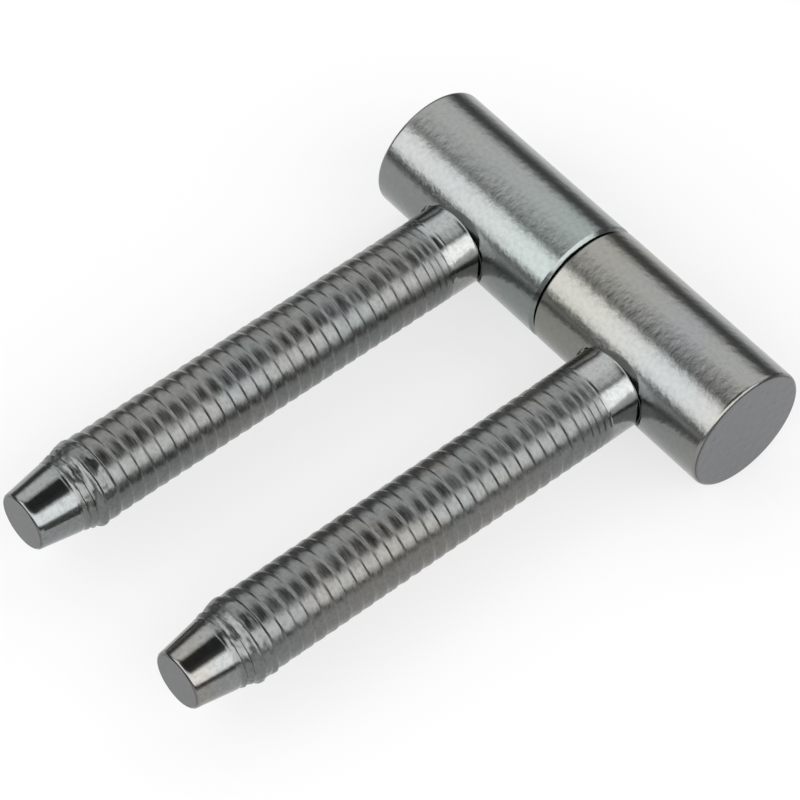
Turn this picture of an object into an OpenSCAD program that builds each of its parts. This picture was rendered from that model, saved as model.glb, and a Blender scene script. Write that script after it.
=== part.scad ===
// Two-part drill-in barrel hinge.
// Two turned steel barrels stand end to end on one loose pin, and each barrel
// carries one threaded stud. The hinge lies flat as it would on a bench: the pin
// axis runs along X and both studs point along -Y. All sizes are millimetres.

/* [Barrels] */
// Diameter of each barrel
barrel_d = 14; // [13:0.5:18]
// Length of each barrel along the pin axis
barrel_len = 23.9; // [22:0.05:40]
// Gap left between the two barrels
joint_gap = 0.2; // [0.1:0.05:1]
// Radius of the rounded edge at the outer end of each barrel
end_round = 0.45; // [0.1:0.05:1]
// Edge break where the barrels meet
joint_chamfer = 0.35; // [0.1:0.05:1]

/* [Pin] */
// Diameter of the loose hinge pin
pin_d = 7; // [5:0.1:7.5]
// How deep the pin stands in each barrel
pin_depth = 15; // [10:0.5:20]
// Radial running clearance between the pin and its bores
pin_clearance = 0.05; // [0.01:0.01:0.1]
// Edge break at the pin's ends
pin_chamfer = 0.6; // [0.2:0.1:1]
// Edge break at the mouth of each bore
bore_chamfer = 0.4; // [0.1:0.1:0.8]

/* [Studs] */
// Diameter of each stud over its thread
stud_d = 8.9; // [8:0.1:10]
// Distance from the pin axis to a stud's tip
stud_reach = 61.8; // [45:0.1:80]
// Joint line to the stud axis on the frame half
frame_stud_offset = 12.4; // [11:0.1:13.5]
// Joint line to the stud axis on the leaf half
leaf_stud_offset = 11.4; // [11:0.1:13.5]
// Length of the taper at the tip
taper_len = 8.3; // [5:0.1:12]
// Length of the smooth cone that the thread leaves at the tip
smooth_tip_len = 4.6; // [1:0.1:6]
// Diameter at the end of the taper
tip_d = 6.2; // [4:0.1:7]
// Edge break round the flat tip
tip_chamfer = 0.2; // [0.1:0.05:1]

/* [Thread] */
// Distance from one thread ridge to the next
thread_pitch = 1.5; // [1:0.05:2]
// Depth of the thread below the stud's diameter
thread_depth = 0.2; // [0.1:0.05:0.6]

/* [Collar and seat] */
// How far the collar's rim stands out from the stud
collar_lip = 0.25; // [0.2:0.05:1.5]
// Length of the flare, from the collar's rim to the smooth neck
flare_len = 0.6; // [0.5:0.1:4]
// Thickness of the collar's rim
rim_t = 0.15; // [0.1:0.05:0.6]
// Smooth neck between the flare and the thread
neck_len = 3; // [0.5:0.1:4]
// Depth of the flat milled into the barrel under the collar's rim
seat_depth = 0.4; // [0.1:0.05:0.5]
// Room round the collar in the milled flat
seat_room = 0.1; // [0.05:0.05:0.5]
// Diameter of the plain end that is pressed into the barrel
spigot_d = 6.8; // [6:0.1:8]
// Wall left between the pressed end and the pin bore
spigot_web = 0.5; // [0.3:0.1:1]
// Edge break at the pressed end
spigot_chamfer = 0.3; // [0.1:0.1:0.6]

/* [Hidden] */
$fn = 96;

barrel_r = barrel_d / 2;
stud_r = stud_d / 2;
tip_r = tip_d / 2;
collar_r = stud_r + collar_lip;
spigot_r = spigot_d / 2;
pin_r = pin_d / 2;
bore_r = pin_r + pin_clearance;

// Distances along a stud, counted outwards from the pin axis
seat_at = barrel_r - seat_depth;
spigot_end_at = bore_r + spigot_web;
// The collar's conical back begins where the plain pressed end leaves the barrel
cone_at = sqrt(barrel_r * barrel_r - spigot_r * spigot_r);
rim_at = seat_at + rim_t;
neck_at = rim_at + flare_len;
thread_from = neck_at + neck_len;
thread_to = stud_reach - smooth_tip_len;
taper_at = stud_reach - taper_len;
turns = floor((thread_to - thread_from) / thread_pitch);

// The flare and the rounded edges are drawn with this many short cones
flare_steps = 6;
round_steps = 8;
// Shares of one pitch taken by the root and by each flank of the thread
root_share = 0.3;
flank_share = 0.2;

// The origin is under the middle of the hinge as it lies flat
axis_y = (stud_reach - barrel_r) / 2;
axis_z = barrel_r;
cut_over = 1;

// Radius over the thread at a distance t along the stud
function over_thread(t) =
    t <= taper_at ? stud_r
    : stud_r - (t - taper_at) * (stud_r - tip_r) / taper_len;

// Radius of the hollow flare, from the rim at u = 0 to the neck at u = 1
function flare_r(u) = stud_r + collar_lip * (1 - u) * (1 - u);

// The four corners of one ridge: root, crest, crest and root
function ridge(t) = [
    for (c = [[root_share / 2, thread_depth],
              [root_share / 2 + flank_share, 0],
              [1 - root_share / 2 - flank_share, 0],
              [1 - root_share / 2, thread_depth]])
        let (at = t + c[0] * thread_pitch) [over_thread(at) - c[1], at]
];

function flare_profile() = [
    for (i = [0 : flare_steps])
        let (u = i / flare_steps) [flare_r(u), rim_at + u * flare_len]
];

function thread_profile() = [
    for (i = [0 : turns - 1])
        each ridge(thread_to - (turns - i) * thread_pitch)
];

function stud_profile() = concat(
    [[0, spigot_end_at],
     [spigot_r - spigot_chamfer, spigot_end_at],
     [spigot_r, spigot_end_at + spigot_chamfer],
     [spigot_r, cone_at],
     [collar_r, seat_at]],
    flare_profile(),
    [[stud_r, thread_to - turns * thread_pitch]],
    thread_profile(),
    [[over_thread(thread_to), thread_to],
     [over_thread(stud_reach - tip_chamfer), stud_reach - tip_chamfer],
     [tip_r - tip_chamfer, stud_reach],
     [0, stud_reach]]
);

// The quarter round at the barrel's outer end
function end_edge() = [
    for (i = [0 : round_steps])
        let (a = 90 * i / round_steps)
            [barrel_r - end_round * (1 - cos(a)), barrel_len - end_round * (1 - sin(a))]
];

function barrel_profile() = concat(
    [[0, pin_depth],
     [bore_r, pin_depth],
     [bore_r, bore_chamfer],
     [bore_r + bore_chamfer, 0],
     [barrel_r - joint_chamfer, 0],
     [barrel_r, joint_chamfer]],
    end_edge(),
    [[0, barrel_len]]
);

// The hole that takes a stud: a bore for its pressed end, a countersink for the
// collar's back and the milled flat under the rim
function seat_profile() = [
    [0, spigot_end_at],
    [spigot_r, spigot_end_at],
    [spigot_r, cone_at],
    [collar_r, seat_at],
    [collar_r + seat_room, seat_at],
    [collar_r + seat_room, barrel_r + cut_over],
    [0, barrel_r + cut_over]
];

module at_pin_axis() {
    translate([0, axis_y, axis_z]) children();
}

// Turns a shape that stands along +Z so that it points along -Y
module along_stud(offset) {
    translate([offset, 0, 0]) rotate([90, 0, 0]) children();
}

// One barrel on the +X side: a turned bar with a blind bore for the pin and a cross
// hole for the stud
module barrel(offset) {
    difference() {
        translate([joint_gap / 2, 0, 0])
            rotate([0, 90, 0])
                rotate_extrude() polygon(barrel_profile());
        along_stud(offset)
            rotate_extrude() polygon(seat_profile());
    }
}

// One stud: pressed end, collar with a conical back and a flared front, neck,
// ridged thread and tapered tip
module stud(offset) {
    along_stud(offset) rotate_extrude() polygon(stud_profile());
}

module frame_barrel() {
    color([0.60, 0.61, 0.60])
        at_pin_axis() mirror([1, 0, 0]) barrel(frame_stud_offset);
}

module frame_stud() {
    color([0.66, 0.67, 0.66])
        at_pin_axis() stud(-frame_stud_offset);
}

module leaf_barrel() {
    color([0.60, 0.60, 0.58])
        at_pin_axis() barrel(leaf_stud_offset);
}

module leaf_stud() {
    color([0.66, 0.66, 0.64])
        at_pin_axis() stud(leaf_stud_offset);
}

// The loose pin stands on the bottom of both bores and keeps the barrels apart
module hinge_pin() {
    pin_half = joint_gap / 2 + pin_depth;
    color([0.50, 0.50, 0.50])
        at_pin_axis()
            rotate([0, 90, 0])
                rotate_extrude()
                    polygon([[0, -pin_half],
                             [pin_r - pin_chamfer, -pin_half],
                             [pin_r, pin_chamfer - pin_half],
                             [pin_r, pin_half - pin_chamfer],
                             [pin_r - pin_chamfer, pin_half],
                             [0, pin_half]]);
}

frame_barrel();
frame_stud();
hinge_pin();
leaf_barrel();
leaf_stud();
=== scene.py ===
"""A two-part drill-in barrel hinge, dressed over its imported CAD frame.

Two zinc-plated barrels stand end to end on a loose steel pin, and each carries one
stud with a rolled thread. Everything is in metres, in the CAD frame: the pin axis
runs along X and both studs point along -Y.
"""
import math

import bmesh
import bpy
from mathutils import Matrix, Vector, noise


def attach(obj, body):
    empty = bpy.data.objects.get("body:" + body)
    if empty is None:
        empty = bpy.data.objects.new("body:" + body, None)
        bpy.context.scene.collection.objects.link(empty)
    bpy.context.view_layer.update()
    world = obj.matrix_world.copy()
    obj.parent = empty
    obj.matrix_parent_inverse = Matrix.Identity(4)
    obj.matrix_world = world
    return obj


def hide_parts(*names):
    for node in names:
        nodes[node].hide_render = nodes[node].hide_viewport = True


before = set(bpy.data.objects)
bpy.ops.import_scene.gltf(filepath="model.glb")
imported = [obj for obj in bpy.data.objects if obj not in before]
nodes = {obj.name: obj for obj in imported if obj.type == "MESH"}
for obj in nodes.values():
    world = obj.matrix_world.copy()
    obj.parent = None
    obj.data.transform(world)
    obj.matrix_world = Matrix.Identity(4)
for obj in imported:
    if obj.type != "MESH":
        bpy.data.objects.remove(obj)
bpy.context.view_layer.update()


# The two barrels. Each is a length of round steel bar, turned, cross-drilled for its
# stud and bright zinc plated. The plate has left a fine orange-peel skin that breaks up
# every reflection, and the flat ends are duller, with small pits. A painted dark line,
# a painted reflection of the dark horizon, rings each barrel just before its end face.

MM = 0.001
# Places along the pin axis, in millimetres from the joint
TINT_FROM, TINT_TO = 3.6, 14.4              # a third tint, near the joint, fades out between these
PAINTED_LINE_FROM, BARREL_END = 23.5, 24.0
FACE_FROM, FACE_FULL = 23.9712, 23.9808     # the dull finish of the end face begins here


def new_material(name):
    """A bare metal material, its node tree and its principled shader."""
    material = bpy.data.materials.new(name)
    material.use_nodes = True
    tree = material.node_tree
    shader = tree.nodes["Principled BSDF"]
    shader.inputs["Metallic"].default_value = 1.0
    return material, tree, shader


def link(tree, source, target):
    tree.links.new(source, target)


def pattern(tree, stretch, scale, detail, roughness=0.5):
    """A noise pattern on object coordinates, stretched along X, Y and Z."""
    place = tree.nodes.new("ShaderNodeTexCoord")
    mapping = tree.nodes.new("ShaderNodeMapping")
    mapping.inputs["Scale"].default_value = stretch
    texture = tree.nodes.new("ShaderNodeTexNoise")
    texture.inputs["Scale"].default_value = scale
    texture.inputs["Detail"].default_value = detail
    texture.inputs["Roughness"].default_value = roughness
    link(tree, place.outputs["Object"], mapping.inputs["Vector"])
    link(tree, mapping.outputs["Vector"], texture.inputs["Vector"])
    return texture.outputs["Fac"]


def ramp(tree, value, stops):
    """Turns a value into colours or greys at the given stops."""
    node = tree.nodes.new("ShaderNodeValToRGB")
    bar = node.color_ramp
    while len(bar.elements) < len(stops):
        bar.elements.new(0.5)
    for element, (at, shade) in zip(bar.elements, stops):
        element.position = at
        element.color = (*shade, 1) if isinstance(shade, tuple) else (shade, shade, shade, 1)
    link(tree, value, node.inputs["Fac"])
    return node.outputs["Color"]


def multiplied(tree, first, second):
    """One colour or grey times another."""
    mix = tree.nodes.new("ShaderNodeMix")
    mix.data_type = "RGBA"
    mix.blend_type = "MULTIPLY"
    mix.inputs["Factor"].default_value = 1.0
    link(tree, first, mix.inputs[6])
    link(tree, second, mix.inputs[7])
    return mix.outputs[2]


def mixed(tree, factor, first, second):
    """The first colour where the factor is 0 and the second where it is 1."""
    mix = tree.nodes.new("ShaderNodeMix")
    mix.data_type = "RGBA"
    link(tree, factor, mix.inputs["Factor"])
    if isinstance(first, tuple):
        mix.inputs[6].default_value = (*first, 1)
    else:
        link(tree, first, mix.inputs[6])
    link(tree, second, mix.inputs[7])
    return mix.outputs[2]


def bumps(tree, shader, layers):
    """Stacks bump layers, each a height pattern with its depth in metres."""
    normal = None
    for height, depth in layers:
        bump = tree.nodes.new("ShaderNodeBump")
        bump.inputs["Strength"].default_value = 1.0
        bump.inputs["Distance"].default_value = depth
        link(tree, height, bump.inputs["Height"])
        if normal is not None:
            link(tree, normal, bump.inputs["Normal"])
        normal = bump.outputs["Normal"]
    link(tree, normal, shader.inputs["Normal"])


def beyond(tree, axis, near, far):
    """0 before one place along an object axis and 1 past another, in metres."""
    place = tree.nodes.new("ShaderNodeTexCoord")
    split = tree.nodes.new("ShaderNodeSeparateXYZ")
    span = tree.nodes.new("ShaderNodeMapRange")
    span.inputs["From Min"].default_value = near
    span.inputs["From Max"].default_value = far
    link(tree, place.outputs["Object"], split.inputs[0])
    link(tree, split.outputs[axis], span.inputs["Value"])
    return span.outputs["Result"]


def barrel_plate(name, side, cool, warm, by_joint):
    """Zinc plate on a barrel, drifting between two greys, with a third by the joint."""
    material, tree, shader = new_material(name)

    def past(near, far):
        return beyond(tree, "X", side * near * MM, side * far * MM)

    drift = pattern(tree, (1, 1, 1), 90, 1.0)
    cells = pattern(tree, (1, 1, 1), 2000, 2.0, 0.6)
    tint = ramp(tree, drift, [(0.40, cool), (0.60, warm)])
    tint = mixed(tree, past(TINT_FROM, TINT_TO), by_joint, tint)
    speckle = ramp(tree, cells, [(0.30, 0.93), (0.55, 1.0), (0.75, 1.03)])
    # Painted reflection: a thin band just before the end face is darkened to 0.40 of the plate
    painted_dark_line = ramp(tree, past(PAINTED_LINE_FROM, BARREL_END),
                [(0.74, 1.0), (0.80, 0.40), (0.93, 0.40), (0.95, 1.0)])
    skin = multiplied(tree, multiplied(tree, tint, speckle), painted_dark_line)
    pits = ramp(tree, pattern(tree, (0, 1, 1), 1300, 2.0, 0.7),
                [(0.26, (0.100, 0.100, 0.104)), (0.34, (0.158, 0.160, 0.166)),
                 (1.0, (0.176, 0.178, 0.184))])
    link(tree, mixed(tree, past(FACE_FROM, FACE_FULL), skin, pits), shader.inputs["Base Color"])
    link(tree, ramp(tree, cells, [(0.35, 0.22), (0.65, 0.18)]), shader.inputs["Roughness"])
    bumps(tree, shader, [
        (pattern(tree, (1.5, 1, 1), 1000, 2.0, 0.5), 0.032 * MM),
        (pattern(tree, (1, 1, 1), 2600, 1.0, 0.5), 0.0045 * MM),
    ])
    return material


for node_name, side, cool, warm, by_joint in (
    ("frame_barrel", -1, (0.229, 0.243, 0.240), (0.237, 0.244, 0.238), (0.231, 0.256, 0.248)),
    ("leaf_barrel", 1, (0.232, 0.243, 0.242), (0.246, 0.245, 0.232), (0.240, 0.238, 0.218)),
):
    plate = barrel_plate("plated_" + node_name, side, cool, warm, by_joint)
    for slot in nodes[node_name].material_slots:
        slot.material = plate


# The two studs. Each is one turned piece: a plain end pressed into the barrel, a low
# bead for a collar, a bright neck, a shallow rolled thread and a smooth tapered tip. The
# thread is finer where the rollers ran in and out, and its last ridge is torn and proud.

# All in millimetres: radii, and distances from the pin axis towards the tip
AXIS_Y, AXIS_Z = 27.4, 7.0          # the pin axis itself
STUD_R, TIP_R, COLLAR_R, SPIGOT_R = 4.45, 3.1, 4.475, 3.4
SPIGOT_END, CONE_AT, RIM_AT, NECK_AT = 4.05, 6.1, 6.66, 7.22
THREAD_FROM, THREAD_TO, TAPER_AT, REACH = 10.35, 57.2, 53.5, 61.8
SPIGOT_BREAK, TIP_BREAK = 0.3, 0.20
PITCH, FINE_PITCH, THREAD_DEPTH = 1.5, 0.80, 0.080
FINE_BEFORE, FINE_AFTER = 13.2, 55.2
CREST = 0.22                        # where the crest stands, as a share of one pitch
WORN, UNEVEN = 0.6, 0.15            # how far wear changes the thread, as shares of its depth
RIDGE, FLASH, FLECKS = 0.05, 0.09, 0.045    # heights of the torn metal near the tip
BURR_END = 55.3                     # the last full ridge stands proud of the taper
RING_STEP = 0.072                   # length of one ring of faces along the thread
SIDES = 128


def taper_radius(t):
    """Radius over the thread at a distance t from the pin axis."""
    if t <= TAPER_AT:
        return STUD_R
    return STUD_R - (t - TAPER_AT) * (STUD_R - TIP_R) / (REACH - TAPER_AT)


def stud_profile():
    """Radius and distance of each corner, from the pressed end to the tip."""
    corners = [(0, SPIGOT_END), (SPIGOT_R - SPIGOT_BREAK, SPIGOT_END),
               (SPIGOT_R, SPIGOT_END + SPIGOT_BREAK), (SPIGOT_R, CONE_AT)]
    for below, beyond_rim in ((0.12, -0.04), (0.03, 0.0), (0.0, 0.06), (0.0, 0.18),
                              (0.008, 0.28), (0.018, 0.40)):
        corners.append((COLLAR_R - below, RIM_AT + beyond_rim))
    corners.append((STUD_R, NECK_AT))
    t = NECK_AT + 0.3
    while t < THREAD_TO + 0.3:
        corners.append((taper_radius(t), t))
        t += RING_STEP
    cone_steps = 8
    start = corners[-1][1] + 0.2
    for i in range(cone_steps + 1):
        t = start + i * (REACH - TIP_BREAK - start) / cone_steps
        corners.append((taper_radius(t), t))
    corners += [(TIP_R - 0.06, REACH - 0.09), (TIP_R - TIP_BREAK, REACH), (0, REACH)]
    return corners


def turns_at(t):
    """How many thread turns lie before a distance t along the stud."""
    fine_in = (min(t, FINE_BEFORE) - THREAD_FROM) / FINE_PITCH
    main = (min(max(t, FINE_BEFORE), FINE_AFTER) - FINE_BEFORE) / PITCH
    fine_out = (max(t, FINE_AFTER) - FINE_AFTER) / FINE_PITCH
    return fine_in + main + fine_out


def smooth(a, b, x):
    """0 before a, 1 past b and an eased step between them."""
    u = min(max((x - a) / (b - a), 0.0), 1.0)
    return u * u * (3 - 2 * u)


def groove(share):
    """Depth of the thread across one pitch: a short flank up to the crest, then a long one."""
    if share < CREST:
        return 1 - smooth(0.0, CREST, share)
    return smooth(CREST, 1.0, share)


def depth_at(t, thread_from):
    """Half the thread's depth over its fine start, then all of it, and none on the tip."""
    rise = (smooth(thread_from - 0.2, thread_from + 0.3, t)
            + smooth(FINE_BEFORE - 1.2, FINE_BEFORE + 0.8, t)) / 2
    return THREAD_DEPTH * rise * (1 - smooth(THREAD_TO - 0.3, THREAD_TO + 0.2, t))


def torn(t, ragged, crest, outward, seed):
    """How far the torn metal of the last ridge stands out, past where the taper begins."""
    height = STUD_R + RIDGE - taper_radius(t)
    height *= (1 - smooth(BURR_END - 0.5, BURR_END, t)) * smooth(TAPER_AT, TAPER_AT + 0.6, t)
    lip = FLASH * smooth(TAPER_AT - 2, TAPER_AT, t) * (1 - smooth(THREAD_TO - 1, THREAD_TO, t))
    height += lip * crest * (1 + 1.5 * ragged)
    flecks = smooth(TAPER_AT - 1, TAPER_AT + 0.5, t) * (1 - smooth(THREAD_TO - 0.6, THREAD_TO, t))
    return height - FLECKS * flecks * noise.noise(outward * 9 + Vector((seed, t * 2.5, 0)))


def make_stud(name, x, thread_from, seed):
    """Spins a stud's profile round its axis, then cuts the thread into its surface."""
    centre = Vector((x, AXIS_Y, AXIS_Z)) * MM
    bm = bmesh.new()
    line = [bm.verts.new((centre.x + r * MM, centre.y - t * MM, centre.z))
            for r, t in stud_profile()]
    edges = [bm.edges.new(pair) for pair in zip(line, line[1:])]
    bmesh.ops.spin(bm, geom=line + edges, cent=centre, axis=(0, -1, 0), dvec=(0, 0, 0),
                   angle=math.tau, steps=SIDES, use_merge=True, use_duplicate=False)
    bmesh.ops.remove_doubles(bm, verts=bm.verts, dist=0.002 * MM)
    for v in bm.verts:
        off_axis = Vector((v.co.x - centre.x, 0, v.co.z - centre.z))
        t = (centre.y - v.co.y) / MM
        if t < thread_from - 0.5 or t > THREAD_TO + 0.4:
            continue
        outward = off_axis.normalized()
        turn = turns_at(t) - math.atan2(off_axis.z, off_axis.x) / math.tau
        sink = groove(turn - math.floor(turn))
        ragged = noise.noise(outward * 2.2 + Vector((seed, t * 1.1, seed)))
        sunk = depth_at(t, thread_from) * (sink * (1 + WORN * ragged) + UNEVEN * (1 + ragged))
        if t > TAPER_AT - 2:
            sunk -= torn(t, ragged, 1 - sink, outward, seed)
        v.co -= outward * sunk * MM
    bmesh.ops.recalc_face_normals(bm, faces=bm.faces)
    mesh = bpy.data.meshes.new(name)
    bm.to_mesh(mesh)
    bm.free()
    for face in mesh.polygons:
        face.use_smooth = True
    mesh.set_sharp_from_angle(angle=math.radians(32))
    stud = bpy.data.objects.new(name, mesh)
    bpy.context.scene.collection.objects.link(stud)
    return stud


def stud_plate(name, cool, warm):
    """Zinc plate on a stud: bright neck and tip, a duller rolled thread with fine marks."""
    material, tree, shader = new_material(name)
    along = beyond(tree, "Y", (AXIS_Y - REACH) * MM, (AXIS_Y - SPIGOT_END) * MM)

    def at(t):
        """Where a distance from the pin axis lies between the tip and the pressed end."""
        return (REACH - t) / (REACH - SPIGOT_END)

    rolled = ramp(tree, along, [
        (at(THREAD_TO + 0.3), 0.0), (at(THREAD_TO - 0.6), 1.0),
        (at(THREAD_FROM + 0.8), 1.0), (at(THREAD_FROM - 0.2), 0.0)])
    polished = ramp(tree, along, [
        (at(THREAD_FROM + 0.4), 1.0), (at(THREAD_FROM - 0.3), 1.25)])
    face = ramp(tree, along, [(at(REACH - 0.06), 1.0), (at(REACH - 0.09), 0.0)])
    drift = pattern(tree, (1, 1, 1), 110, 1.0)
    marks = pattern(tree, (0.35, 2.2, 0.35), 1200, 3.0, 0.6)
    grains = pattern(tree, (1, 1, 1), 2200, 3.0, 0.6)
    tint = ramp(tree, drift, [(0.40, cool), (0.60, warm)])
    speckle = ramp(tree, grains, [(0.30, 0.82), (0.50, 1.0), (0.70, 1.10)])
    skin = multiplied(tree, tint, speckle)
    skin = multiplied(tree, skin, polished)
    dull = multiplied(tree, skin, ramp(tree, rolled, [(0.0, 1.0), (1.0, 0.72)]))
    cut = ramp(tree, grains, [(0.30, (0.098, 0.100, 0.103)), (0.70, (0.120, 0.122, 0.125))])
    link(tree, mixed(tree, face, dull, cut), shader.inputs["Base Color"])
    polish = ramp(tree, marks, [(0.35, 0.14), (0.65, 0.09)])
    matt = ramp(tree, marks, [(0.35, 0.35), (0.65, 0.22)])
    link(tree, mixed(tree, rolled, polish, matt), shader.inputs["Roughness"])
    scores = multiplied(tree, pattern(tree, (0.15, 1.0, 0.15), 6500, 1.0), rolled)
    bumps(tree, shader, [
        (marks, 0.008 * MM),
        (multiplied(tree, pattern(tree, (0.35, 1.3, 0.35), 1500, 2.0, 0.6), rolled), 0.034 * MM),
        (scores, 0.006 * MM),
        (pattern(tree, (1, 1, 1), 1900, 2.0, 0.6), 0.005 * MM),
    ])
    return material


for node_name, body, x, thread_from, seed, cool, warm in (
    ("frame_stud", "frame_half", -12.4, 9.7, 3.0, (0.222, 0.237, 0.235), (0.236, 0.236, 0.226)),
    ("leaf_stud", "leaf_half", 11.4, 10.4, 11.0, (0.226, 0.236, 0.234), (0.242, 0.236, 0.220)),
):
    stud = make_stud("threaded_" + node_name, x, thread_from, seed)
    stud.data.materials.append(stud_plate("plated_" + node_name, cool, warm))
    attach(stud, body)
    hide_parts(node_name)


# The hinge pin. A loose length of ground bright steel that stands in both barrels, seen
# only through the joint gap or once the leaf half is lifted off.

material, tree, shader = new_material("ground_pin")
grinding = pattern(tree, (6, 0.5, 0.5), 700, 3.0, 0.6)
link(tree, ramp(tree, grinding, [(0.30, (0.22, 0.22, 0.22)), (0.70, (0.31, 0.31, 0.30))]),
     shader.inputs["Base Color"])
link(tree, ramp(tree, grinding, [(0.30, 0.26), (0.70, 0.16)]), shader.inputs["Roughness"])
bumps(tree, shader, [(grinding, 0.004 * MM)])
for slot in nodes["hinge_pin"].material_slots:
    slot.material = material


# The floor. A plain pale sheet that the hinge lies on, a little greyer far out. It
# keeps the hinge's shadow, and shows white to the camera and in reflections.

FLOOR_RADIUS = 4.0
WHITE_TO, GREY_FROM = 0.077, 0.125  # metres from the middle
GLOW = 0.82                         # strength, for rays from the camera and off metal

bm = bmesh.new()
bmesh.ops.create_circle(bm, cap_ends=True, segments=96, radius=FLOOR_RADIUS)
mesh = bpy.data.meshes.new("floor")
bm.to_mesh(mesh)
bm.free()
floor = bpy.data.objects.new("floor", mesh)
bpy.context.scene.collection.objects.link(floor)
material = bpy.data.materials.new("pale_floor")
material.use_nodes = True
tree = material.node_tree
shader = tree.nodes["Principled BSDF"]
shader.inputs["Roughness"].default_value = 1.0
shader.inputs["Specular IOR Level"].default_value = 0.0
place = tree.nodes.new("ShaderNodeTexCoord")
from_middle = tree.nodes.new("ShaderNodeVectorMath")
from_middle.operation = "LENGTH"
link(tree, place.outputs["Object"], from_middle.inputs[0])
fade = tree.nodes.new("ShaderNodeMapRange")
fade.inputs["From Min"].default_value = WHITE_TO
fade.inputs["From Max"].default_value = GREY_FROM
link(tree, from_middle.outputs["Value"], fade.inputs["Value"])
pale = ramp(tree, fade.outputs["Result"], [(0.0, 0.80), (1.0, 0.31)])
link(tree, ramp(tree, fade.outputs["Result"], [(0.0, 0.26), (1.0, 0.10)]),
     shader.inputs["Base Color"])
rays = tree.nodes.new("ShaderNodeLightPath")
seen = rays.outputs["Is Camera Ray"]
for ray in ("Is Glossy Ray", "Is Transmission Ray"):
    either = tree.nodes.new("ShaderNodeMath")
    either.operation = "MAXIMUM"
    link(tree, seen, either.inputs[0])
    link(tree, rays.outputs[ray], either.inputs[1])
    seen = either.outputs[0]
glow = tree.nodes.new("ShaderNodeMath")
glow.operation = "MULTIPLY"
glow.inputs[1].default_value = GLOW
link(tree, seen, glow.inputs[0])
link(tree, pale, shader.inputs["Emission Color"])
link(tree, glow.outputs[0], shader.inputs["Emission Strength"])
floor.data.materials.append(material)


# The studio. A soft tent: a bright wall of light to the front and right, a grey one to
# the left and behind, and dark at the horizon and straight overhead.

BRIGHT_SIDE = math.radians(43)      # from the front towards the right
BRIGHT, GREY = 2.75, 1.42           # strength of each wall of light
# Where each wall fades in and is full, from 1 towards the bright side to -1 away from it
BRIGHT_FADE, GREY_FADE = (-0.12, 0.03), (0.0, -0.32)

world = bpy.data.worlds.new("studio")
bpy.context.scene.world = world
world.use_nodes = True
tree = world.node_tree
background = tree.nodes["Background"]
place = tree.nodes.new("ShaderNodeTexCoord")
split = tree.nodes.new("ShaderNodeSeparateXYZ")
link(tree, place.outputs["Generated"], split.inputs[0])
toward = tree.nodes.new("ShaderNodeVectorMath")
toward.operation = "DOT_PRODUCT"
toward.inputs[1].default_value = (math.sin(BRIGHT_SIDE), -math.cos(BRIGHT_SIDE), 0)
link(tree, place.outputs["Generated"], toward.inputs[0])
front_side = tree.nodes.new("ShaderNodeMapRange")
front_side.interpolation_type = "SMOOTHSTEP"
front_side.inputs["From Min"].default_value = BRIGHT_FADE[0]
front_side.inputs["From Max"].default_value = BRIGHT_FADE[1]
link(tree, toward.outputs["Value"], front_side.inputs["Value"])
back_side = tree.nodes.new("ShaderNodeMapRange")
back_side.interpolation_type = "SMOOTHSTEP"
back_side.inputs["From Min"].default_value = GREY_FADE[0]
back_side.inputs["From Max"].default_value = GREY_FADE[1]
link(tree, toward.outputs["Value"], back_side.inputs["Value"])
height = tree.nodes.new("ShaderNodeMapRange")
height.inputs["From Min"].default_value = -1.0
height.inputs["From Max"].default_value = 1.0
link(tree, split.outputs["Z"], height.inputs["Value"])


def wall(stops):
    """Light by height: each stop is the sine of an elevation and a strength up to 1."""
    return ramp(tree, height.outputs["Result"], [((s + 1) / 2, v) for s, v in stops])


bright = wall([(-1.0, 0.0), (0.14, 0.0), (0.28, 0.90), (0.50, 1.0), (0.76, 0.95), (0.88, 0.0)])
grey = wall([(-1.0, 0.0), (0.29, 0.0), (0.52, 0.95), (0.86, 1.0), (0.93, 0.5), (0.96, 0.0)])
dark = wall([(-1.0, 0.30), (-0.05, 0.16), (0.10, 0.13), (0.90, 0.12), (0.98, 0.06)])


def weighed(colour, factor, strength):
    """A wall's light, times its share of this direction, times its strength."""
    scaled = tree.nodes.new("ShaderNodeMath")
    scaled.operation = "MULTIPLY"
    scaled.inputs[1].default_value = strength
    link(tree, factor, scaled.inputs[0])
    product = tree.nodes.new("ShaderNodeVectorMath")
    product.operation = "SCALE"
    link(tree, colour, product.inputs[0])
    link(tree, scaled.outputs[0], product.inputs["Scale"])
    return product.outputs[0]


def added(first, second):
    total = tree.nodes.new("ShaderNodeVectorMath")
    link(tree, first, total.inputs[0])
    link(tree, second, total.inputs[1])
    return total.outputs[0]


light = added(weighed(bright, front_side.outputs["Result"], BRIGHT),
              weighed(grey, back_side.outputs["Result"], GREY))
link(tree, added(light, dark), background.inputs["Color"])


# The camera, at the photograph's angle, high to the front and right of the hinge.

AZIMUTH, ELEVATION, ROLL = math.radians(47.282), math.radians(52.336), math.radians(2.651)
LOOKS_AT = Vector((-0.612, 3.509, 7.0)) * MM
DISTANCE = 414.9 * MM
LENS, SENSOR = 188.99, 36.0         # focal length and sensor width, in millimetres

back = Vector((math.sin(AZIMUTH) * math.cos(ELEVATION),
               -math.cos(AZIMUTH) * math.cos(ELEVATION), math.sin(ELEVATION)))
level = Vector((math.cos(AZIMUTH), math.sin(AZIMUTH), 0))
rise = back.cross(level)
across = math.cos(ROLL) * level + math.sin(ROLL) * rise
upward = back.cross(across)
data = bpy.data.cameras.new("camera")
data.lens = LENS
data.sensor_width = SENSOR
data.clip_start, data.clip_end = 0.01, 20.0
camera = bpy.data.objects.new("camera", data)
bpy.context.scene.collection.objects.link(camera)
spot = LOOKS_AT + back * DISTANCE
turned = Matrix((across, upward, back)).transposed().to_4x4()
camera.matrix_world = Matrix.Translation(spot) @ turned
bpy.context.scene.camera = camera
bpy.context.scene.view_settings.view_transform = "Standard"
